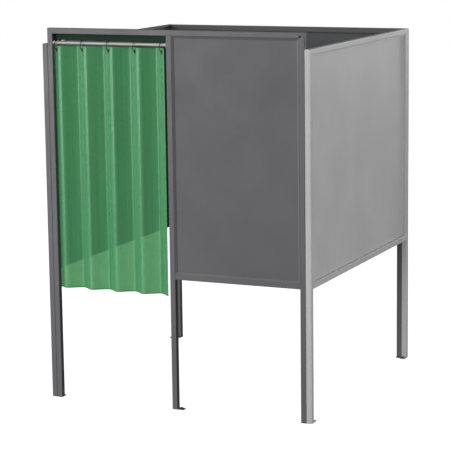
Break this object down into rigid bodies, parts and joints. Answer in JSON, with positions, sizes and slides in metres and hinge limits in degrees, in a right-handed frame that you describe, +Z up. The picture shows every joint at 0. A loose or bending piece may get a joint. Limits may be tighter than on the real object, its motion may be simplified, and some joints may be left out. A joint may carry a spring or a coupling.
{
  "type": "welding booth",
  "caption": "Open-topped steel welding booth on legs: four panelled tube-frame walls, with a doorway closed by a pleated translucent curtain on rings.",
  "frame": {"origin": "on the floor at the middle of the booth's outline", "axes": "+X to the right along the front wall, +Y from the front wall to the back wall, +Z up; the doorway is in the front wall's left half"},
  "size_m": [1.5222, 1.5408, 2],
  "materials": {
    "dark_paint": "satin dark grey powder coat on tube",
    "dark_panel": "satin dark grey powder coat on sheet",
    "light_paint": "satin light grey powder coat on tube",
    "light_panel": "satin light grey powder coat on sheet",
    "bright_steel": "zinc-plated, drawn",
    "dark_steel": "blackened steel",
    "black_rubber": "matt black",
    "green_pvc": "translucent green flexible PVC sheet"
  },
  "bodies": {
    "booth": {"back_bottom_rail": "dark_paint", "back_left_leg": "dark_paint", "back_left_pad": "black_rubber", "back_panel": "dark_panel", "back_panel_border": "dark_paint", "back_right_leg": "dark_paint", "back_right_pad": "black_rubber", "back_top_rail": "dark_paint", "curtain": "green_pvc", "curtain_rail": "bright_steel", "door_header": "dark_panel", "eyelet_1": "dark_steel", "front_bottom_rail": "dark_paint", "front_corner_screw": "dark_steel", "front_left_leg": "dark_paint", "front_left_lower_bolt": "dark_steel", "front_left_pad": "black_rubber", "front_left_upper_bolt": "dark_steel", "front_middle_foot": "dark_paint", "front_middle_leg": "dark_paint", "front_panel": "dark_panel", "front_panel_border": "dark_paint", "front_right_leg": "dark_paint", "front_right_lower_bolt": "dark_steel", "front_right_pad": "black_rubber", "front_right_upper_bolt": "dark_steel", "front_top_rail": "dark_paint", "left_bottom_rail": "dark_paint", "left_front_foot": "dark_paint", "left_front_leg": "dark_paint", "left_panel": "dark_panel", "left_panel_border": "dark_paint", "left_rear_foot": "dark_paint", "left_rear_leg": "dark_paint", "left_top_rail": "dark_paint", "rail_bracket_left": "bright_steel", "rail_bracket_right": "bright_steel", "rear_left_lower_bolt": "dark_steel", "rear_left_upper_bolt": "dark_steel", "rear_right_lower_bolt": "dark_steel", "rear_right_upper_bolt": "dark_steel", "right_bottom_rail": "light_paint", "right_front_foot": "light_paint", "right_front_leg": "light_paint", "right_panel": "light_panel", "right_panel_border": "light_paint", "right_rear_foot": "light_paint", "right_rear_leg": "light_paint", "right_top_rail": "light_paint", "ring_1": "dark_steel"},
    "hanger_2": {"ring_2": "dark_steel", "eyelet_2": "dark_steel"},
    "hanger_3": {"ring_3": "dark_steel", "eyelet_3": "dark_steel"},
    "hanger_4": {"ring_4": "dark_steel", "eyelet_4": "dark_steel"},
    "hanger_5": {"ring_5": "dark_steel", "eyelet_5": "dark_steel"}
  },
  "joints": [
    {"name": "curtain_draw", "type": "slide", "parent": "booth", "child": "hanger_5", "axis": [-1, 0, 0], "range_m": [0, 0.4415], "deforming": ["curtain"]},
    {"name": "hanger_4_slide", "type": "slide", "parent": "booth", "child": "hanger_4", "axis": [-1, 0, 0], "range_m": [0, 0.4415]},
    {"name": "hanger_3_slide", "type": "slide", "parent": "booth", "child": "hanger_3", "axis": [-1, 0, 0], "range_m": [0, 0.4415]},
    {"name": "hanger_2_slide", "type": "slide", "parent": "booth", "child": "hanger_2", "axis": [-1, 0, 0], "range_m": [0, 0.4415]}
  ],
  "couplings": [
    {"joint": "hanger_4_slide", "follows": "curtain_draw", "ratio": 0.75},
    {"joint": "hanger_3_slide", "follows": "curtain_draw", "ratio": 0.5},
    {"joint": "hanger_2_slide", "follows": "curtain_draw", "ratio": 0.25}
  ]
}
